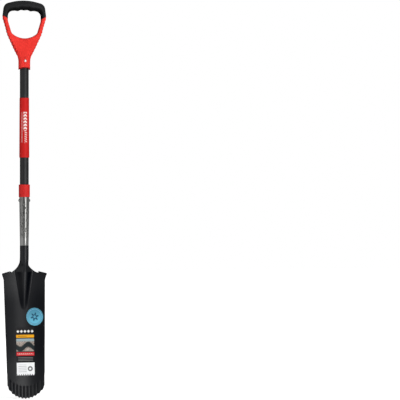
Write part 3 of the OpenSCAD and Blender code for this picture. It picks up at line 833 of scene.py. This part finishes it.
def tread_rows(base):
    """Points of a tread, row by row from the top of the sheet: a fold, then a ledge with round corners."""
    x = base[:, 0]
    slope = -8 * DISH_DEPTH * x / SHOULDER_W ** 2
    ahead = np.stack([slope, -np.ones_like(slope), 0 * slope], -1)
    ahead /= np.linalg.norm(ahead, axis=1)[:, None]
    up = np.array([0, 0, 1.0])
    rows = [base + up * FOLD_R * math.sin(a) + ahead * FOLD_R * (1 - math.cos(a))
            for a in np.linspace(0, math.pi / 2, 9)[1:]]
    folded = rows[-1]
    inside = np.minimum(np.abs(x) - TREAD_GAP / 2, EAR_W / 2 - np.abs(x))
    short = np.maximum(TREAD_CORNER_R - inside, 0)
    cut = TREAD_CORNER_R - np.sqrt(np.maximum(TREAD_CORNER_R ** 2 - short ** 2, 0))
    length = (TREAD_DEPTH - FOLD_R - SHEET_T - cut)[:, None]
    rows += [folded + ahead * length * v for v in np.linspace(0, 1, 9)[1:]]
    return np.array(rows)


def blade_piece(ridges, material):
    """The pressed sheet: one grid for the face, from whose top row the neck and both treads go on."""
    neck_s, tread_s = share_at(NECK_START_W), share_at(TREAD_GAP / 2)
    s = np.linspace(-1, 1, COLUMNS_PER_TOOTH * TOOTH_COUNT + 1)
    s = np.unique(np.round(np.concatenate([s, [neck_s, -neck_s, tread_s, -tread_s]]), 6))
    top_x = column_x(s, np.full_like(s, BLADE_L))
    h = sheet_rows(s, top_x)
    share = np.tile(s, (len(h), 1))
    x = column_x(share, h)
    fade = smooth(FLUTE_FADE * (1 - (h - arc_h(share)) / FLUTE_L))
    sheet = np.stack([x, dish_y(x, h) + FLUTE_INSET * fade, TIP_Z + h], -1)
    ids = np.arange(h.size).reshape(h.shape)
    points, faces = [sheet.reshape(-1, 3)], grid_quads(ids)

    middle = np.abs(s) <= neck_s + SAME_SHARE
    grown = [(ids[-1][middle], neck_rows(top_x[middle] / NECK_START_W, s[middle] / neck_s))]
    for side in (-1, 1):
        part = side * s >= tread_s - SAME_SHARE
        grown.append((ids[-1][part], tread_rows(sheet[-1][part])))
    for first_ids, rows in grown:
        count = sum(len(block) for block in points)
        more = count + np.arange(rows.shape[0] * rows.shape[1]).reshape(rows.shape[:2])
        faces += grid_quads(np.vstack([first_ids, more]))
        points.append(rows.reshape(-1, 3))
    points = np.concatenate(points)

    def on_sheet(values):
        """The sheet's values for all points, with 0 on the neck and the treads."""
        return np.pad(values.ravel(), (0, len(points) - h.size))

    # Masks for painted shade, less gloss in the flutes and on the frog's flanks, and for a painted
    # highlight, more gloss on the frog's crest.
    across = np.abs(x) / frog_edge(h)
    flank = smooth((across - 0.15) / 0.2) * smooth((1.35 - across) / 0.75) * smooth((h - FROG_H) / 30)
    crest = smooth((0.16 - across) / 0.12) * smooth((h - FROG_H) / 12)
    flutes = fade * np.sin(tooth_turn(share)) ** 8
    piece = new_piece("blade_shell", points, faces, material, {
        "ridge_turn": on_sheet(tooth_turn(share)),
        "ridge_way": np.outer(on_sheet(fade), [0, 1, 0]),
        "edge_wear": on_sheet(smooth(1 - (h - h[0]) / EDGE_WEAR_H)),
        "painted_shade_and_crest_highlight": on_sheet(0.5 * flutes + 0.6 * flank - 0.9 * crest)})
    run_tree(piece, ridges, Height=FLUTE_DEPTH * MM, Fullness=FLUTE_FULLNESS, Material=material)
    settle(piece)
    modify(piece, "SOLIDIFY", thickness=SHEET_T * MM, offset=-1, use_even_offset=True)
    modify(piece, "BEVEL", width=SHEET_BEVEL * MM, segments=2, limit_method="ANGLE",
           angle_limit=math.radians(55))
    return settle(piece, 60)


# D handle: outlines as corners [x, z, rounding] of the right half, from the bottom to the top

CROWN_R = 165
CROWN_SLOPE = math.radians(15)
CROWN_Z = CROSSBAR_H + CROWN_R * (1 / math.cos(CROWN_SLOPE) - 1)
CROWN_CORNER_X = OPENING_W / 2 + KNEE_W - 4.5
CROWN_CORNER_R = 20
FLOOR_SAG = 12
FLOOR_R = 62
LOW_CORNER_X = OPENING_LOW_W / 2 + 1
LOW_CORNER_R = 14
CORNER_Z = -OPENING_H + 15.5
SIDE_Z = -0.38 * OPENING_H
SIDE_R = 30
TOP_CORNER_Z = -4.5
TOP_CORNER_R = 18
WEB_INSET = 0.1
WEB_LOW_Z = WEB_Z - 25
WEB_LOW_R = 8
WEB_FILLET_Z = WEB_Z - 1.5
WEB_FILLET_R = 70
WEB_LAP = 3
ARM_Z = -OPENING_H + 10.5
ARM_R = 120
KNEE_Z = -21
KNEE_R = 30
RING_Z = -0.7 * OPENING_H
RIB_TOP_Z = KNEE_Z - 5
RIB_LOW_Z = WEB_Z + 4
RIB_COUNT = math.floor((RIB_TOP_Z - RIB_LOW_Z) / RIB_PITCH)
RIB_FULLNESS = 1.2
RIB_START = math.pi / 8
FINGER_FULLNESS = 2.0
GRIP_START = math.radians(GRIP_ANGLE)
GRIP_BEVEL = 0.7
ARM_SQUARENESS = 3.2
GRIP_SQUARENESS = 2.5
SECTION_POINTS = 48

OPENING_CORNERS = [
    (0, -OPENING_H - FLOOR_SAG, FLOOR_R),
    (LOW_CORNER_X, CORNER_Z, LOW_CORNER_R),
    (OPENING_W / 2, SIDE_Z, SIDE_R),
    (OPENING_W / 2, TOP_CORNER_Z, TOP_CORNER_R),
    (0, FINGER_DEPTH, 0)]
OUTER_CORNERS = [
    (0, WEB_LOW_Z, 0),
    (FERRULE_D / 2 - WEB_INSET, WEB_LOW_Z, WEB_LOW_R),
    (FERRULE_D / 2 - WEB_INSET, WEB_FILLET_Z, WEB_FILLET_R),
    (LOW_CORNER_X + ARM_W, ARM_Z, ARM_R),
    (OPENING_W / 2 + KNEE_W + 1, KNEE_Z, KNEE_R),
    (CROWN_CORNER_X, CROWN_Z - CROWN_CORNER_X * math.tan(CROWN_SLOPE), CROWN_CORNER_R),
    (0, CROWN_Z, CROWN_R)]


def outline(corners):
    """Points at small steps along the right half, close enough for a table of reach by angle."""
    ends = [(-x, z, r) for x, z, r in (corners[1], corners[-2])]
    chain = ends[:1] + corners + ends[1:]
    out = []
    for before, (x, z, r), after in zip(chain, corners, chain[2:]):
        arc = corner_arc(before[:2], (x, z), after[:2], r, 24) if r else np.array([(x, z)], float)
        out.append(arc[arc[:, 0] > -1e-3])
    points = np.concatenate(out)
    far = np.concatenate([[0], np.cumsum(np.linalg.norm(np.diff(points, axis=0), axis=1))])
    even = np.union1d(np.arange(0, far[-1], 0.5), far)
    return np.stack([np.interp(even, far, points[:, k]) for k in (0, 1)], -1)


OPENING = outline(OPENING_CORNERS)
OUTER = outline(OUTER_CORNERS)


def reach_at(points, angle):
    """How far an outline lies from the middle of the ring at an angle."""
    angles = np.arctan2(points[:, 1] - RING_Z, points[:, 0])
    return np.interp(angle, angles, np.hypot(points[:, 0], points[:, 1] - RING_Z))


def web_rise(z):
    return smooth((z - WEB_Z) / (-OPENING_H - WEB_Z))


def ring_section(angle, inset):
    """One section of the D: its points on the right half, their share c across and the ray outwards."""
    ray = np.array([math.cos(angle), math.sin(angle)])
    near = reach_at(OPENING, angle) + inset
    far = reach_at(OUTER, angle) - inset
    degrees = math.degrees(angle)
    power = lerp(ARM_SQUARENESS, GRIP_SQUARENESS, smooth((degrees - 20) / 40))
    turn = np.arange(SECTION_POINTS) * math.tau / SECTION_POINTS
    c = np.sign(np.cos(turn)) * np.abs(np.cos(turn)) ** (2 / power)
    d = np.sign(np.sin(turn)) * np.abs(np.sin(turn)) ** (2 / power)
    reach = (near + far) / 2 + c * (far - near) / 2
    x, z = reach * ray[0], RING_Z + reach * ray[1]
    if angle < 0:
        # The web goes over from the round ferrule to the flat arms
        square = lerp(2, 12, web_rise(z))
        edge = np.interp(z, OUTER[:, 1], OUTER[:, 0])
        rim = (1 - clamp((x + 1e-3) / edge) ** square) ** (1 / square)
        d = np.where(c > 0, np.sign(d) * rim, d)
        depth = lerp(FERRULE_D - 1, ARM_DEPTH, web_rise(z)) / 2
    else:
        depth = lerp(ARM_DEPTH, GRIP_DEPTH, smooth((degrees - 10) / 50)) / 2
    return np.stack([x, d * (depth - inset), z], -1), c, ray


def both_sides(stations):
    """Stations [angle, inset] of the right half, then mirrored back down the left half."""
    return [(a, i, 1) for a, i in stations] + [(a, i, -1) for a, i in stations[-2::-1]]


def yoke_stations():
    """Angles of the yoke's sections, close along the ribs, and the inset of the core under the grip."""
    arm = OUTER[(OUTER[:, 1] > WEB_Z) & (OUTER[:, 1] < KNEE_Z + 4)]
    rib_z = np.linspace(RIB_LOW_Z, RIB_TOP_Z, RIB_COUNT * 12)
    ribs = np.interp(rib_z, arm[:, 1], np.arctan2(arm[:, 1] - RING_Z, arm[:, 0]))
    angles = np.concatenate([np.linspace(-math.pi / 2, ribs[0], 26)[:-1], ribs,
                             np.linspace(ribs[-1], GRIP_START, 8)[1:]])
    core = [(a, GRIP_WALL + FIT) for a in np.linspace(GRIP_START, math.pi / 2, 40)]
    return both_sides([(a, 0) for a in angles] + core)[:-1]


def yoke_piece(ridges, material):
    """The red moulding: a ring of sections with ribs on its arms, a ferrule, a bore and an arch."""
    points, turn, way, painted_rib_rim_shade = [], [], [], []
    for angle, inset, side in yoke_stations():
        section, c, ray = ring_section(angle, inset)
        z = RING_Z + reach_at(OUTER, angle) * ray[1]
        ribbed = float(RIB_LOW_Z + 2 <= z <= RIB_TOP_Z and inset == 0)
        phase = math.pi * (RIB_TOP_Z - z) / RIB_PITCH + RIB_START
        points.append(section * [side, 1, 1])
        turn.append(np.full(len(c), phase))
        way.append(np.outer((1 + c) / 2, [side * ray[0], 0, ray[1]]) * ribbed)
        # Painted shade along the opening's inner edge and in the hollows between the ribs, kept as an
        # attribute for the red finish.
        rim = 0.35 * smooth((-0.8 - c) / 0.2) * (inset == 0)
        painted_rib_rim_shade.append(rim + ribbed * smooth((c - 0.6) / 0.3) * (1 - math.sin(phase) ** 2) ** 3)
    ids = np.arange(len(points) * SECTION_POINTS).reshape(-1, SECTION_POINTS)
    ids = np.vstack([ids, ids[:1]])
    ids = np.hstack([ids, ids[:, :1]])
    body = new_piece("handle_body", np.concatenate(points), grid_quads(ids), material, {
        "ridge_turn": np.concatenate(turn), "ridge_way": np.concatenate(way),
        "painted_rib_rim_shade": np.concatenate(painted_rib_rim_shade)})
    run_tree(body, ridges, Height=RIB_H * MM, Fullness=RIB_FULLNESS, Material=material)
    settle(body)
    tools = []
    for name, operation, shape in (("ferrule", "UNION", ferrule_shape()),
                                   ("bore", "DIFFERENCE", bore_shape()),
                                   ("arch", "DIFFERENCE", arch_shape())):
        tool = new_piece(name, *shape, material)
        modify(body, "BOOLEAN", operation=operation, object=tool, solver="EXACT")
        tools.append(tool)
    settle(body)
    weld(body)
    for tool in tools:
        bpy.data.objects.remove(tool)
    return settle(body, 35)


def ferrule_shape():
    r, top = FERRULE_D / 2, WEB_Z + WEB_LAP
    return turned(rounded([(0, FERRULE_Z, 0), (r, FERRULE_Z, 1.4), (r, top, 0.8), (0, top, 0)]))


def bore_shape():
    low = FERRULE_Z - 5
    return turned([(0, low), (BORE_R, low), (BORE_R, SHAFT_TOP_Z), (0, SHAFT_TOP_Z)])


def arch_shape():
    """A wide cylinder from front to back, which cuts the ferrule's foot into an arch."""
    end = FERRULE_D
    points, faces = turned([(0, -end), (ARCH_R, -end), (ARCH_R, end), (0, end)], 240)
    return points[:, [0, 2, 1]] * [1, -1, 1] + [0, 0, ARCH_Z], faces


def grip_piece(ridges, material):
    """The soft grip: an outer and an inner skin, joined at both ends, with hollows for the fingers."""
    stations = both_sides([(a, 0) for a in np.linspace(GRIP_START, math.pi / 2, 110)])
    points, turn, way, painted_underside = [], [], [], []
    for inset in (0, GRIP_WALL):
        for angle, _, side in stations:
            section, c, ray = ring_section(angle, inset)
            x = side * reach_at(OPENING, angle) * ray[0]
            hollowed = float(inset == 0) * float(smooth((1.5 * FINGER_PITCH - abs(x)) / 2))
            points.append(section * [side, 1, 1])
            turn.append(np.full(len(c), math.pi * x / FINGER_PITCH + math.pi / 2))
            way.append(np.outer((c - 1) / 2, [side * ray[0], 0, ray[1]]) * hollowed)
            # Painted shade on the side towards the opening, which is the grip's underside.
            painted_underside.append(smooth(-c / 0.5))
    ids = np.arange(len(points) * SECTION_POINTS).reshape(2, -1, SECTION_POINTS)
    outer, inner = np.concatenate([ids, ids[:, :, :1]], 2)
    faces = grid_quads(outer) + grid_quads(inner[::-1])
    faces += grid_quads([inner[0], outer[0]]) + grid_quads([outer[-1], inner[-1]])
    piece = new_piece("soft_grip", np.concatenate(points), faces, material, {
        "ridge_turn": np.concatenate(turn), "ridge_way": np.concatenate(way),
        "painted_underside_shade": np.concatenate(painted_underside)})
    run_tree(piece, ridges, Height=FINGER_DEPTH * MM, Fullness=FINGER_FULLNESS, Material=material)
    settle(piece)
    modify(piece, "BEVEL", width=GRIP_BEVEL * MM, segments=3, limit_method="ANGLE",
           angle_limit=math.radians(60))
    return settle(piece, 50)


# Turned pieces on the shaft

HEAD_CHAMFER = 0.15


def turned_piece(name, corners, material):
    return settle(new_piece(name, *turned(rounded(corners), 128), material), 35)


def shaft_piece(material):
    low_h = MOUTH_H - SHAFT_SEAT
    low_z, mouth_z = TIP_Z + low_h, TIP_Z + MOUTH_H
    low_r = socket_d(low_h) / 2 - SHEET_T - FIT
    r, wall = SHAFT_D / 2, SHAFT_WALL
    return turned_piece("shaft_tube", [
        (low_r, low_z, 0.5), (r, mouth_z, 20), (r, SHAFT_TOP_Z, 0.5),
        (r - wall, SHAFT_TOP_Z, 0.5), (r - wall, mouth_z, 20), (low_r - wall, low_z, 0.5)], material)


def sleeve_piece(material):
    low = TIP_Z + SLEEVE_LOW_H
    top = low + SLEEVE_L
    inner = SHAFT_D / 2 + FIT
    return turned_piece("hand_sleeve", [
        (inner, low, 0.4), (inner + SLEEVE_WALL_LOW, low, 1.0), (inner + SLEEVE_WALL_TOP, top, 0.6),
        (inner, top, 0.2)], material)


def collar_piece(material):
    low, top, lip = TIP_Z + COLLAR_LOW_H, TIP_Z + COLLAR_TOP_H, TIP_Z + MOUTH_H + FIT
    low_r, mouth_r = socket_d(COLLAR_LOW_H) / 2 + FIT, MOUTH_D / 2 + FIT
    outer_r, shaft_r = mouth_r + COLLAR_WALL, SHAFT_D / 2 + FIT
    return turned_piece("red_collar", [
        (low_r, low, 0.3), (outer_r, low, COLLAR_EDGE_R), (outer_r, top, COLLAR_EDGE_R),
        (shaft_r, top, 0.4), (shaft_r, lip, 0), (mouth_r, lip, 0)], material)


def wrap_piece(material):
    low, top = TIP_Z + SOCKET_H, TIP_Z + COLLAR_LOW_H
    low_r, top_r = socket_d(SOCKET_H) / 2 + FIT, socket_d(COLLAR_LOW_H) / 2 + FIT
    return turned_piece("socket_sleeve", [
        (low_r, low, 0.1), (low_r + WRAP_T, low, 0.25), (top_r + WRAP_T, top, 0.25), (top_r, top, 0.1)],
        material)


def rivet_piece(name, tree, material, head_d, head_h, shank_d, grip, turn, z):
    """A rivet through the shaft: its domed head is turned here, and the tree sets it on both ends."""
    dome_r = (head_d ** 2 / 4 + head_h ** 2) / (2 * head_h)
    widest = math.asin(min(1, head_d / 2 / dome_r))
    dome = [(dome_r * math.sin(a), head_h - dome_r + dome_r * math.cos(a))
            for a in np.linspace(widest, 0, 14)]
    head = [(0, 0), (head_d / 2 - HEAD_CHAMFER, 0)] + dome
    piece = new_piece(name, *turned(head, 64), material)
    run_tree(piece, tree, Grip=grip * MM, Shank=shank_d / 2 * MM, Turn=turn, Place=(0, 0, z * MM),
             Material=material)
    return settle(piece)


# Printed stickers on the front of the blade

STICKER_LIFT = 0.2
STICKER_T = 0.12
LABEL_X = 1.0
LABEL_W = 58
LABEL_TOP_H = 229
LABEL_LOW_H = 75
LABEL_TEETH = 8
LABEL_TOOTH_H = 6
SEAL_X = 33
SEAL_H = 262.5
SEAL_HALF_W = 26.3
SEAL_HALF_H = 28.4


def sticker(name, x, h, u, v, material):
    """A thin film over a grid of places on the blade, with its own print map."""
    step = 0.5
    across = (dish_y(x + step, h) - dish_y(x - step, h)) / (2 * step)
    upward = (dish_y(x, h + step) - dish_y(x, h - step)) / (2 * step)
    front = np.stack([across, -np.ones_like(x), upward], -1)
    front /= np.linalg.norm(front, axis=-1)[..., None]
    points = np.stack([x, dish_y(x, h), TIP_Z + h], -1) + front * STICKER_LIFT
    ids = np.arange(x.size).reshape(x.shape)
    piece = new_piece(name, points.reshape(-1, 3), grid_quads(ids), material)
    places = np.stack([u, v], -1).reshape(-1, 2)
    corners = np.zeros(len(piece.data.loops), int)
    piece.data.loops.foreach_get("vertex_index", corners)
    piece.data.uv_layers.new(name="print").data.foreach_set("uv", places[corners].ravel())
    weld(piece)
    modify(piece, "SOLIDIFY", thickness=STICKER_T * MM, offset=-1)
    return settle(piece)


def label_piece(material):
    """The paper label, with a toothed lower edge."""
    u, v = np.meshgrid(np.linspace(0, 1, LABEL_TEETH * 8 + 1), np.linspace(1, 0, 120))
    low = LABEL_LOW_H + LABEL_TOOTH_H * (1 - np.abs(np.sin(math.pi * LABEL_TEETH * u)))
    h = lerp(LABEL_TOP_H, low, v)
    printed = (LABEL_TOP_H - h) / (LABEL_TOP_H - LABEL_LOW_H)
    return sticker("paper_label", LABEL_X + (u - 0.5) * LABEL_W, h, u, printed, material)


def seal_piece(material):
    """The round seal, from its rim to its middle."""
    turn, reach = np.meshgrid(np.linspace(0, math.tau, 97), np.linspace(1, 0, 24))
    u, v = reach * np.cos(turn), reach * np.sin(turn)
    return sticker("round_seal", SEAL_X + SEAL_HALF_W * u, SEAL_H + SEAL_HALF_H * v, u, v, material)


def make_spade():
    """All pieces, each on the spade's one body and in place of its CAD node."""
    ridges, rivet = ridge_tree(), rivet_tree()
    collar_red = deep_red("collar_red", rgb(0.50, 0.020, 0.019), rgb(0.63, 0.028, 0.025))
    sleeve_red = deep_red("sleeve_red", rgb(0.48, 0.012, 0.011), rgb(0.58, 0.018, 0.016), printed=True)
    seat(blade_piece(ridges, blade_coat()), "blade")
    seat(wrap_piece(socket_metal()), "socket_wrap")
    seat(collar_piece(collar_red), "collar")
    seat(shaft_piece(shaft_coat()), "shaft")
    seat(sleeve_piece(sleeve_red), "shaft_sleeve")
    seat(yoke_piece(ridges, bright_red()), "handle_yoke")
    seat(grip_piece(ridges, grip_rubber()), "handle_grip")
    wrap_d = socket_d(RIVET_H + SOCKET_RIVET_HEAD_D / 2) + 2 * (FIT + WRAP_T)
    seat(rivet_piece("socket_rivet_set", rivet, socket_rivet_metal(), SOCKET_RIVET_HEAD_D,
                     SOCKET_RIVET_HEAD_H, SOCKET_RIVET_D, wrap_d + 2 * FIT, (0, math.pi / 2, 0),
                     TIP_Z + RIVET_H), "socket_rivet")
    seat(rivet_piece("handle_rivet_set", rivet, rivet_metal(), HANDLE_RIVET_HEAD_D,
                     HANDLE_RIVET_HEAD_H, HANDLE_RIVET_D, FERRULE_D + 2 * FIT, (math.pi / 2, 0, 0),
                     HANDLE_RIVET_Z), "handle_rivet")
    seat(label_piece(label_print()))
    seat(seal_piece(seal_print()))


# Studio, in metres apart from the floor's mesh

AMBIENT = 0.15
FLOOR_HALF_W = 12000
FLOOR_GAP = 0.5
FLOOR_GLOW = 0.68
CAMERA_AWAY = 7.0
CAMERA_SIDE = math.radians(-11.3)
CAMERA_LENS = 195.132
CAMERA_YAW = math.radians(-4.6331)
CAMERA_Z = -0.61017


def looked_at(wire):
    """1 for what is seen straight, in gloss or through glass, and 0 for light on its way."""
    rays = wire.node("ShaderNodeLightPath").socket.node.outputs
    seen = Wire(wire.tree, rays["Is Camera Ray"])
    for name in ("Is Glossy Ray", "Is Transmission Ray"):
        seen = seen.most(Wire(wire.tree, rays[name]))
    return seen


def studio_world():
    """White where it is looked at, and only a faint light on the spade."""
    world = bpy.data.worlds.new("studio")
    bpy.context.scene.world = world
    world.use_nodes = True
    tree = world.node_tree
    back = tree.nodes["Background"]
    back.inputs["Color"].default_value = rgb(1, 1, 1)
    tree.links.new((looked_at(Wire(tree)) * (1 - AMBIENT) + AMBIENT).socket, back.inputs["Strength"])


def studio_floor():
    """Pale floor that goes over into the white background, with the soft shadow of the spade on it."""
    f = Finish("floor_white", 0.005)
    f.set("Base Color", rgb(0.8, 0.8, 0.8))
    f.set("Roughness", 0.8)
    away = f.wire.math("SQRT", f.axis("X") ** 2.0 + f.axis("Y") ** 2.0).rise(0.25, 1.1)
    near = rgb(FLOOR_GLOW, FLOOR_GLOW, FLOOR_GLOW)
    shade = away.blend(near, rgb(1, 1, 1))
    glow = f.wire.node("ShaderNodeEmission", None, {"Color": shade, "Strength": 1.0})
    surface = f.tree.nodes["Material Output"].inputs["Surface"]
    body = Wire(f.tree, surface.links[0].from_socket)
    bright = f.wire.node("ShaderNodeAddShader", None, {0: body, 1: glow})
    shown = f.wire.node("ShaderNodeMixShader", None, {0: looked_at(f.wire), 1: body, 2: bright})
    f.tree.links.new(shown.socket, surface)
    size, z = FLOOR_HALF_W, TIP_Z - FLOOR_GAP
    corners = [(-size, -size, z), (size, -size, z), (size, size, z), (-size, size, z)]
    new_piece("floor", corners, [(0, 1, 2, 3)], f.material)


def lamp(name, place, size, power):
    """A soft lamp that faces the middle of the spade."""
    data = bpy.data.lights.new(name, "AREA")
    data.shape = "RECTANGLE"
    data.size, data.size_y = size
    data.energy = power
    item = bpy.data.objects.new(name, data)
    item.location = place
    item.visible_camera = False
    item.rotation_mode = "QUATERNION"
    item.rotation_quaternion = (item.location - Vector((0, 0, -0.6))).to_track_quat("Z", "Y")
    bpy.context.scene.collection.objects.link(item)


def studio_lights():
    lamp("key", (0.80, -2.47, -0.5), (1.0, 1.6), 45)
    lamp("side", (1.87, -2.08, -0.4), (0.7, 1.6), 10)
    lamp("left", (-2.3, -0.6, -0.4), (3.0, 1.8), 19)
    lamp("top", (0.2, -0.4, 2.2), (1.6, 1.6), 22)
    lamp("back", (0.6, 2.6, 0.4), (1.6, 2.0), 16)


def photo_camera():
    """A long lens, a little to the left of the spade, which sees it at the left of the picture."""
    data = bpy.data.cameras.new("photo")
    data.sensor_width = 36
    data.lens = CAMERA_LENS
    data.clip_start, data.clip_end = 0.05, 60
    camera = bpy.data.objects.new("photo", data)
    camera.location = (CAMERA_AWAY * math.sin(CAMERA_SIDE), -CAMERA_AWAY * math.cos(CAMERA_SIDE), CAMERA_Z)
    camera.rotation_euler = (math.pi / 2, 0, CAMERA_SIDE + CAMERA_YAW)
    bpy.context.scene.collection.objects.link(camera)
    bpy.context.scene.camera = camera


make_spade()
studio_world()
studio_floor()
studio_lights()
photo_camera()
bpy.context.scene.view_settings.view_transform = "Standard"
